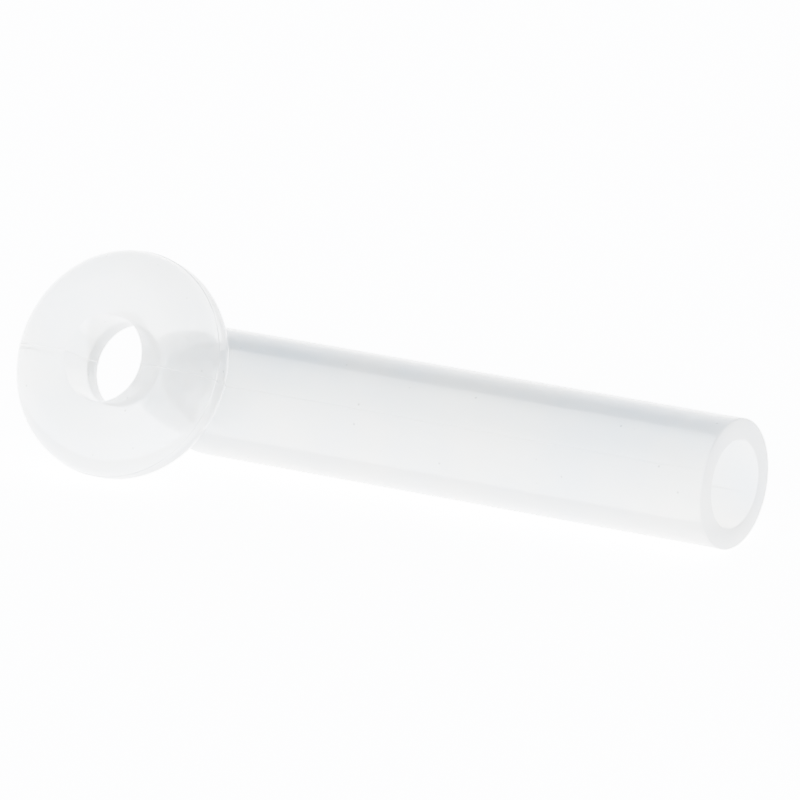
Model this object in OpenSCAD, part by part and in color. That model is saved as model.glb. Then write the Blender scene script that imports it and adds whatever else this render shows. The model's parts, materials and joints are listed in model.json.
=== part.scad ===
// Slip-on tip for a saliva ejector: one soft, milky-clear silicone moulding.
// A fat, rounded ring lies across the closed round end of a tube, like an eyelet on a stalk.
// The tube's open mouth slips over the ejector's stem. Saliva is drawn down through the eye of the
// ring and in at a port below it, while the ring keeps cheek and tongue from being sucked on.
// The moulding is one piece. It is drawn as three regions that meet face to face.
//
// +X runs along the tube, from the ring to the open mouth. The origin is the mouth's centre.
// +Z is up, with the tip lying as it rests on a table: on its tube and on the rim of its ring.

/* [Ring] */
// Outside diameter of the ring
ring_od = 15.8; // [14.4:0.1:19]
// Height of the ring's front above its parting line
front_height = 2.5; // [2.1:0.1:3]
// Depth of the eye's front rim below the ring's front
front_rim_depth = 0.25; // [0.1:0.05:0.5]
// Depth of the ring's back below its parting line
back_height = 2.95; // [2.5:0.05:3.5]
// Length of the straight side between the parting line and the back's rounded edge
back_band = 0.75; // [0.3:0.05:1.1]
// Depth of the eye's back rim inside the ring's back
back_rim_depth = 0.85; // [0.3:0.05:1.2]
// Diameter of the eye through the ring
eye_d = 6.15; // [5:0.05:7.4]

/* [Tube] */
// Outside diameter of the tube
tube_od = 8.9; // [8:0.1:10.8]
// Bore of the tube, a snug stretch fit on the ejector's stem
bore_d = 6; // [4.8:0.1:7.2]
// Distance from the ring's axis to the tube's open mouth
reach = 45.5; // [30:0.1:60]

/* [Joint of ring and tube] */
// Depth that the ring's underside sinks into the tube's wall
ring_sink = 0.8; // [0.4:0.05:1.2]
// Distance from the ring's axis to the centre of the tube's round end
end_centre = 4.1; // [3.4:0.1:5]
// Step inwards from the eye's wall to the port's wall
port_step = 0.3; // [0.1:0.05:0.6]

/* [Hidden] */

ring_r = ring_od / 2;
eye_r = eye_d / 2;
tube_r = tube_od / 2;
bore_r = bore_d / 2;
port_r = eye_r - port_step;

// Extra length of a cut past the face that it opens through
past = 1;
$fn = 96;

// Radius of the rounded edge around the ring's front, and of the one around its back
front_round = front_height;
back_round = back_height - back_band;

// Heights of the eye's two rims, on either side of the parting line
front_rim_z = front_height - front_rim_depth;
back_rim_z = back_height - back_rim_depth;

// Height of the ring's parting line above the tube's axis
ring_lift = tube_r + back_height - ring_sink;

// Angle that the tip is rolled over by, about the tube, for ring and tube to touch the table
contact_x = ring_r - back_round;
contact_z = ring_lift - back_band;
contact_span = sqrt(contact_x * contact_x + contact_z * contact_z);
lie_angle = atan(contact_z / contact_x) + asin((tube_r - back_round) / contact_span);

// The barrel is the plain tube past the ring's rim
barrel_start = ring_r;

silicone = [0.93, 0.95, 0.96, 0.6];

// Places a piece that is drawn with X along the tube's axis and Z along the ring's, from the
// point where those two axes cross
module as_it_lies() {
    translate([-reach, 0, 0])
        rotate([lie_angle, 0, 0])
            children();
}

// Area under an arc about (x, z), down to the parting line, from one distance off the ring's
// axis to another
module under_arc(x, z, r, from_x, to_x) {
    intersection() {
        translate([x, z])
            circle(r = r);
        translate([from_x, 0])
            square([to_x - from_x, z + r]);
    }
}

// Half of the ring's section. Its rounded edge reaches the full height at crown_x, and a flatter
// arc runs on from there, without a corner, to the sharp rim of the eye.
module half_section(height, round_r, rim_z) {
    crown_x = ring_r - round_r;
    run = crown_x - eye_r;
    drop = height - rim_z;
    inner_r = (run * run + drop * drop) / (2 * drop);
    under_arc(crown_x, height - round_r, round_r, crown_x, ring_r);
    under_arc(crown_x, height - inner_r, inner_r, eye_r, crown_x);
}

module ring_body() {
    translate([0, 0, ring_lift])
        rotate_extrude() {
            half_section(front_height, front_round, front_rim_z);
            mirror([0, 1]) {
                half_section(back_height, back_round, back_rim_z);
                translate([ring_r - back_round, 0])
                    square([back_round, back_band]);
            }
        }
}

// Rod along X from its ball end to a flat stop
module ball_ended_rod(r, stop) {
    translate([end_centre, 0, 0]) {
        sphere(r = r);
        rotate([0, 90, 0])
            cylinder(r = r, h = stop - end_centre);
    }
}

module bore_space() {
    ball_ended_rod(bore_r, reach + past);
}

// The port carries the eye on through the tube's round end, down to its axis
module port() {
    cylinder(r = port_r, h = ring_lift);
}

// Fat ring with the eye through it
module ring_head() {
    color(silicone)
        as_it_lies()
            difference() {
                ring_body();
                bore_space();
            }
}

// Closed round end of the tube under the ring, with the port from the eye into the bore
module tube_end() {
    color(silicone)
        as_it_lies()
            difference() {
                intersection() {
                    ball_ended_rod(tube_r, reach);
                    translate([end_centre - tube_r, -tube_r, -tube_r])
                        cube([barrel_start - end_centre + tube_r, tube_od, tube_od]);
                }
                bore_space();
                port();
                ring_body();
            }
}

// Straight tube from the ring's rim to the open mouth
module tube_barrel() {
    color(silicone)
        as_it_lies()
            translate([barrel_start, 0, 0])
                rotate([0, 90, 0])
                    difference() {
                        cylinder(r = tube_r, h = reach - barrel_start);
                        translate([0, 0, -past])
                            cylinder(r = bore_r, h = reach - barrel_start + 2 * past);
                    }
}

ring_head();
tube_end();
tube_barrel();
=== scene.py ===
"""A slip-on silicone tip for a saliva ejector: one milky-clear moulding, lying on a pale table.

The moulding is drawn along the tube, with X along the tube's axis, Z along the ring's axis and
the origin where those two axes cross. It is then rolled over to where the frame has it.
"""

import json
import math

import bmesh
import bpy
from mathutils import Matrix, Vector


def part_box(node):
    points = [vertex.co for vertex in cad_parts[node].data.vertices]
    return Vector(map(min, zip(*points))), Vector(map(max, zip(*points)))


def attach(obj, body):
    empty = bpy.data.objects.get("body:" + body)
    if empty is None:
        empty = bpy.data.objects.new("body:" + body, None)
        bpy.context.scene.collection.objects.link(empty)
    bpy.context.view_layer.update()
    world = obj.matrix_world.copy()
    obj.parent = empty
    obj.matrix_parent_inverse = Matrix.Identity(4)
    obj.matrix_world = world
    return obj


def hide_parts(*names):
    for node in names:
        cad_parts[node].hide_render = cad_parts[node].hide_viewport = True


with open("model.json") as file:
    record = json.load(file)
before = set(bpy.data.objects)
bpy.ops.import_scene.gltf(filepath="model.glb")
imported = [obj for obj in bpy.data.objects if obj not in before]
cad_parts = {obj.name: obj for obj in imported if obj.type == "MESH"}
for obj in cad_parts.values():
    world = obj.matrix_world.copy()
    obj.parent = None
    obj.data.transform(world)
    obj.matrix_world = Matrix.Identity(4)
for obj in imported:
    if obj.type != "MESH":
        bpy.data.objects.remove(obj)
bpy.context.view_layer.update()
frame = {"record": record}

MM = 0.001

# Sizes that the frame gives
mounts = {mount["name"]: mount for mount in frame["record"]["mounts"]}
eye_centre = Vector(mounts["eye"]["pos_m"])
eye_axis = Vector(mounts["eye"]["axis"])
eye_r = mounts["eye"]["dims"]["r_mm"] * MM
bore_r = mounts["stem_socket"]["dims"]["r_mm"] * MM
ring_low, ring_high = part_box("ring_head")
barrel_low, barrel_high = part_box("tube_barrel")
ring_r = (ring_high.x - ring_low.x) / 2
tube_r = (barrel_high.z - barrel_low.z) / 2
reach = -eye_centre.x
ring_lift = math.hypot(eye_centre.y, eye_centre.z)
lie_angle = math.atan2(-eye_axis.y, eye_axis.z)

# Sizes that the frame holds only in its curves
FRONT_HEIGHT = 2.5 * MM
FRONT_RIM_DEPTH = 0.25 * MM
BACK_HEIGHT = 2.95 * MM
BACK_BAND = 0.75 * MM
BACK_RIM_DEPTH = 0.85 * MM
END_CENTRE = 4.1 * MM
PORT_STEP = 0.3 * MM

# Fine detail
EDGE_ROUND = 0.12 * MM
EYE_EDGE_ROUND = 0.08 * MM
CREASE_HALF_WIDTH = 0.05 * MM
CREASE_HEIGHT = 0.04 * MM
SEAM_HALF_WIDTH = 0.055 * MM
SEAM_HEIGHT = 0.045 * MM

# Fineness of the mesh
RING_STEPS = 160
TUBE_STEPS = 112
ARC_STEPS = 22

X_AXIS = Vector((1, 0, 0))
Y_AXIS = Vector((0, 1, 0))
Z_AXIS = Vector((0, 0, 1))


# ---------------------------------------------------------------- mesh helpers

def line_to(bm, vert, place):
    """Adds an edge from vert to place, and returns its new end."""
    new = bm.verts.new(place)
    bm.edges.new((vert, new))
    return new


def arc_to(bm, vert, centre, axis, angle, steps):
    """Sweeps vert round centre into a row of edges, and returns the row's end."""
    swept = bmesh.ops.spin(
        bm, geom=[vert], cent=centre, axis=axis, angle=angle, steps=steps, use_merge=False
    )
    return [item for item in swept["geom_last"] if isinstance(item, bmesh.types.BMVert)][0]


def lathe(bm, axis, steps):
    """Turns the whole outline in bm once round an axis through the origin into a closed skin."""
    bmesh.ops.spin(
        bm, geom=bm.verts[:] + bm.edges[:], cent=(0, 0, 0), axis=axis,
        angle=math.tau, steps=steps, use_merge=True,
    )
    bmesh.ops.remove_doubles(bm, verts=bm.verts, dist=0.001 * MM)
    bmesh.ops.dissolve_degenerate(bm, dist=0.0005 * MM, edges=bm.edges)
    bmesh.ops.recalc_face_normals(bm, faces=bm.faces)


def object_from(bm, name):
    mesh = bpy.data.meshes.new(name)
    bm.to_mesh(mesh)
    bm.free()
    made = bpy.data.objects.new(name, mesh)
    bpy.context.scene.collection.objects.link(made)
    return made


def combine(base, other, operation):
    """Applies a boolean of other to base, and removes other."""
    cut = base.modifiers.new("combine", "BOOLEAN")
    cut.operation = operation
    cut.solver = "EXACT"
    cut.object = other
    depsgraph = bpy.context.evaluated_depsgraph_get()
    mesh = bpy.data.meshes.new_from_object(base.evaluated_get(depsgraph))
    base.modifiers.clear()
    base.data = mesh
    bpy.data.objects.remove(other)


# ---------------------------------------------------------------- the moulding

def half_profile(bm, vert, height, round_r, rim_depth, side):
    """Carries the ring's outline over one face, between the rim's rounded edge and the eye.

    On the front, side is 1 and the outline runs inwards. On the back, side is -1 and it runs out.
    """
    crown_x = ring_r - round_r
    run = crown_x - eye_r
    inner_r = (run ** 2 + rim_depth ** 2) / (2 * rim_depth)
    sweep = math.atan2(run, inner_r - rim_depth)
    angle = sweep - EYE_EDGE_ROUND / inner_r
    rim_z = height - rim_depth
    outer_centre = (crown_x, 0, side * (height - round_r))
    inner_centre = (crown_x, 0, side * (height - inner_r))
    if side > 0:
        vert = arc_to(bm, vert, outer_centre, -Y_AXIS, math.pi / 2, ARC_STEPS)
        vert = arc_to(bm, vert, inner_centre, -Y_AXIS, angle, ARC_STEPS)
        vert = line_to(bm, vert, (eye_r + 0.2 * EYE_EDGE_ROUND, 0, rim_z - 0.2 * EYE_EDGE_ROUND))
        return line_to(bm, vert, (eye_r, 0, rim_z - EYE_EDGE_ROUND))
    vert = line_to(bm, vert, (eye_r, 0, EYE_EDGE_ROUND - rim_z))
    vert = line_to(bm, vert, (eye_r + 0.2 * EYE_EDGE_ROUND, 0, 0.2 * EYE_EDGE_ROUND - rim_z))
    vert = line_to(bm, vert, (
        crown_x - inner_r * math.sin(angle), 0, -(height - inner_r) - inner_r * math.cos(angle)
    ))
    vert = arc_to(bm, vert, inner_centre, -Y_AXIS, angle, ARC_STEPS)
    return arc_to(bm, vert, outer_centre, -Y_AXIS, math.pi / 2, ARC_STEPS)


def ring_skin():
    """The ring about the Z axis, with a fine crease round its rim."""
    bm = bmesh.new()
    first = bm.verts.new((ring_r, 0, 0))
    vert = half_profile(bm, first, FRONT_HEIGHT, FRONT_HEIGHT, FRONT_RIM_DEPTH, 1)
    for share in (0.75, 0.5, 0.25, 0):
        vert = line_to(bm, vert, (eye_r, 0, (FRONT_HEIGHT - FRONT_RIM_DEPTH) * share))
    for share in (0.25, 0.5, 0.75):
        vert = line_to(bm, vert, (eye_r, 0, -(BACK_HEIGHT - BACK_RIM_DEPTH) * share))
    vert = half_profile(bm, vert, BACK_HEIGHT, BACK_HEIGHT - BACK_BAND, BACK_RIM_DEPTH, -1)
    vert = line_to(bm, vert, (ring_r, 0, -CREASE_HALF_WIDTH * 2))
    vert = line_to(bm, vert, (ring_r + CREASE_HEIGHT, 0, -CREASE_HALF_WIDTH))
    bm.edges.new((vert, first))
    lathe(bm, Z_AXIS, RING_STEPS)
    bmesh.ops.translate(bm, vec=(0, 0, ring_lift), verts=bm.verts)
    return object_from(bm, "silicone_tip")


def tube_skin():
    """The tube about the X axis: its ball end, its barrel, its mouth and its bore."""
    bm = bmesh.new()
    vert = bm.verts.new((END_CENTRE - tube_r, 0, 0))
    vert = arc_to(bm, vert, (END_CENTRE, 0, 0), Y_AXIS, math.pi / 2, ARC_STEPS)
    for step in range(1, 25):
        vert = line_to(bm, vert, (END_CENTRE + step * 0.25 * MM, 0, tube_r))
    fine_end = END_CENTRE + 6 * MM
    barrel_step = (reach - EDGE_ROUND - fine_end) / 24
    for step in range(1, 25):
        vert = line_to(bm, vert, (fine_end + step * barrel_step, 0, tube_r))
    vert = arc_to(bm, vert, (reach - EDGE_ROUND, 0, tube_r - EDGE_ROUND), Y_AXIS, math.pi / 2, 5)
    vert = line_to(bm, vert, (reach, 0, bore_r + EDGE_ROUND))
    vert = arc_to(bm, vert, (reach - EDGE_ROUND, 0, bore_r + EDGE_ROUND), Y_AXIS, math.pi / 2, 5)
    bore_step = (reach - EDGE_ROUND - END_CENTRE) / 32
    for step in range(1, 33):
        vert = line_to(bm, vert, (reach - EDGE_ROUND - step * bore_step, 0, bore_r))
    arc_to(bm, vert, (END_CENTRE, 0, 0), -Y_AXIS, math.pi / 2, ARC_STEPS)
    lathe(bm, X_AXIS, TUBE_STEPS)
    return object_from(bm, "tube_skin")


def port_cutter():
    bm = bmesh.new()
    top = tube_r + 0.07 * MM
    bmesh.ops.create_cone(
        bm, cap_ends=True, segments=RING_STEPS, radius1=eye_r - PORT_STEP,
        radius2=eye_r - PORT_STEP, depth=top
    )
    bmesh.ops.translate(bm, vec=(0, 0, top / 2), verts=bm.verts)
    return object_from(bm, "port_cutter")


def raise_seam(tip):
    """Raises the fine seam that the mould's two halves leave, all round the plane they meet in."""
    bm = bmesh.new()
    bm.from_mesh(tip.data)
    for offset in (-SEAM_HALF_WIDTH, 0, SEAM_HALF_WIDTH):
        bmesh.ops.bisect_plane(
            bm, geom=bm.verts[:] + bm.edges[:] + bm.faces[:], dist=0.002 * MM,
            plane_co=(0, offset, 0), plane_no=Y_AXIS,
        )
    bm.normal_update()
    mouth_x = reach - 2 * EDGE_ROUND
    for vert in bm.verts:
        outside = math.hypot(vert.co.y, vert.co.z) > (tube_r + bore_r) / 2
        if abs(vert.co.y) < 0.003 * MM and outside and vert.co.x < mouth_x:
            vert.co += vert.normal * SEAM_HEIGHT
    bm.to_mesh(tip.data)
    bm.free()


def moulding():
    tube = tube_skin()
    combine(tube, port_cutter(), "DIFFERENCE")
    tip = ring_skin()
    combine(tip, tube, "UNION")
    raise_seam(tip)
    tip.data.transform(
        Matrix.Translation((-reach, 0, 0)) @ Matrix.Rotation(lie_angle, 4, "X")
    )
    tip.data.shade_smooth()
    tip.data.set_sharp_from_angle(angle=math.radians(35))
    return tip


# ---------------------------------------------------------------- the material

COOL_MILK = (0.8, 0.84, 0.88)
WARM_MILK = (0.95, 0.94, 0.89)
SPECK_COLOUR = (0.45, 0.45, 0.44)

# Fineness of each pattern, in features per metre
CLOUD_SCALE = 130
SPECK_SCALE = 620
SKIN_SCALE = 900
RIPPLE_SCALE = 420

RIPPLE_DEPTH = 0.03 * MM


def add_node(tree, kind, **settings):
    node = tree.nodes.new(kind)
    for name, value in settings.items():
        setattr(node, name, value)
    return node


def noise(tree, coords, scale, detail):
    node = add_node(tree, "ShaderNodeTexNoise")
    node.inputs["Scale"].default_value = scale
    node.inputs["Detail"].default_value = detail
    tree.links.new(coords, node.inputs["Vector"])
    return node.outputs[0]


def ramp(tree, factor, low, high, low_colour, high_colour):
    node = add_node(tree, "ShaderNodeValToRGB")
    node.color_ramp.elements[0].position = low
    node.color_ramp.elements[1].position = high
    node.color_ramp.elements[0].color = (*low_colour, 1)
    node.color_ramp.elements[1].color = (*high_colour, 1)
    tree.links.new(factor, node.inputs[0])
    return node.outputs["Color"]


def multiply(tree, first, second):
    node = add_node(tree, "ShaderNodeMix", data_type="RGBA", blend_type="MULTIPLY")
    node.inputs[0].default_value = 1
    tree.links.new(first, node.inputs[6])
    tree.links.new(second, node.inputs[7])
    return node.outputs[2]


def silicone():
    """Milky-clear silicone, faintly cloudy, with a few dust specks and an uneven skin."""
    made = bpy.data.materials.new("milky_silicone")
    made.use_nodes = True
    tree = made.node_tree
    shader = tree.nodes["Principled BSDF"]
    coords = add_node(tree, "ShaderNodeTexCoord").outputs["Object"]

    cloud = ramp(tree, noise(tree, coords, CLOUD_SCALE, 3), 0.35, 0.65, COOL_MILK, WARM_MILK)
    dust = add_node(tree, "ShaderNodeTexVoronoi")
    dust.inputs["Scale"].default_value = SPECK_SCALE
    tree.links.new(coords, dust.inputs["Vector"])
    specks = ramp(tree, dust.outputs["Distance"], 0.03, 0.07, SPECK_COLOUR, (1, 1, 1))
    tree.links.new(multiply(tree, cloud, specks), shader.inputs["Base Color"])

    skin = ramp(tree, noise(tree, coords, SKIN_SCALE, 4), 0.3, 0.7, (0.1, 0.1, 0.1), (0.2, 0.2, 0.2))
    tree.links.new(skin, shader.inputs["Roughness"])
    bump = add_node(tree, "ShaderNodeBump")
    bump.inputs["Strength"].default_value = 0.25
    bump.inputs["Distance"].default_value = RIPPLE_DEPTH
    tree.links.new(noise(tree, coords, RIPPLE_SCALE, 2), bump.inputs["Height"])
    tree.links.new(bump.outputs["Normal"], shader.inputs["Normal"])

    shader.inputs["IOR"].default_value = 1.41
    shader.inputs["Transmission Weight"].default_value = 0.72
    shader.inputs["Subsurface Weight"].default_value = 1.0
    shader.inputs["Subsurface Radius"].default_value = (1, 1.05, 1.1)
    shader.inputs["Subsurface Scale"].default_value = 2 * MM
    return made


# ---------------------------------------------------------------- the studio

def floor():
    """A pale light table, which keeps the ground under clear silicone white."""
    bm = bmesh.new()
    bmesh.ops.create_grid(bm, x_segments=1, y_segments=1, size=0.6)
    bmesh.ops.translate(bm, vec=(reach * -0.5, 0, -tube_r), verts=bm.verts)
    made = object_from(bm, "table")
    paper = bpy.data.materials.new("white_paper")
    paper.use_nodes = True
    shader = paper.node_tree.nodes["Principled BSDF"]
    shader.inputs["Base Color"].default_value = (0.95, 0.95, 0.95, 1)
    shader.inputs["Roughness"].default_value = 0.9
    shader.inputs["Emission Color"].default_value = (1, 1, 1, 1)
    shader.inputs["Emission Strength"].default_value = 11
    made.data.materials.append(paper)


def studio():
    """A white tent, darker overhead and off the open end of the tube."""
    world = bpy.data.worlds.new("studio")
    bpy.context.scene.world = world
    world.use_nodes = True
    tree = world.node_tree
    background = tree.nodes["Background"]
    direction = add_node(tree, "ShaderNodeTexCoord").outputs["Generated"]
    parts = add_node(tree, "ShaderNodeSeparateXYZ")
    tree.links.new(direction, parts.inputs["Vector"])
    tent = ramp(tree, parts.outputs["Z"], 0.1, 0.7, (1, 1, 0.98), (0.06, 0.085, 0.12))
    side = ramp(tree, parts.outputs["X"], 0.35, 0.95, (1, 1, 1), (0.3, 0.34, 0.4))
    tree.links.new(multiply(tree, tent, side), background.inputs["Color"])
    background.inputs["Strength"].default_value = 16


# The camera looks at a point beside the ring, from the tube's open side and a little above
CAMERA_AIM = Vector((-29.01, 3.87, 0.14)) * MM
CAMERA_AZIMUTH = 33.48
CAMERA_ELEVATION = 18.87
CAMERA_ROLL = -1.97
CAMERA_DISTANCE = 616.4 * MM
CAMERA_LENS = 405


def camera():
    made = bpy.data.objects.new("camera", bpy.data.cameras.new("camera"))
    made.data.lens = CAMERA_LENS
    made.data.clip_start = 0.01
    turn, tilt = math.radians(CAMERA_AZIMUTH), math.radians(CAMERA_ELEVATION)
    level = math.cos(tilt)
    back = Vector((math.sin(turn) * level, -math.cos(turn) * level, math.sin(tilt)))
    made.location = CAMERA_AIM + back * CAMERA_DISTANCE
    made.rotation_mode = "QUATERNION"
    made.rotation_quaternion = (-back).to_track_quat("-Z", "Y") @ Matrix.Rotation(
        math.radians(CAMERA_ROLL), 4, "Z"
    ).to_quaternion()
    bpy.context.scene.collection.objects.link(made)
    bpy.context.scene.camera = made


tip = moulding()
tip.data.materials.append(silicone())
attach(tip, "root")
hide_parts("ring_head", "tube_end", "tube_barrel")
floor()
studio()
camera()
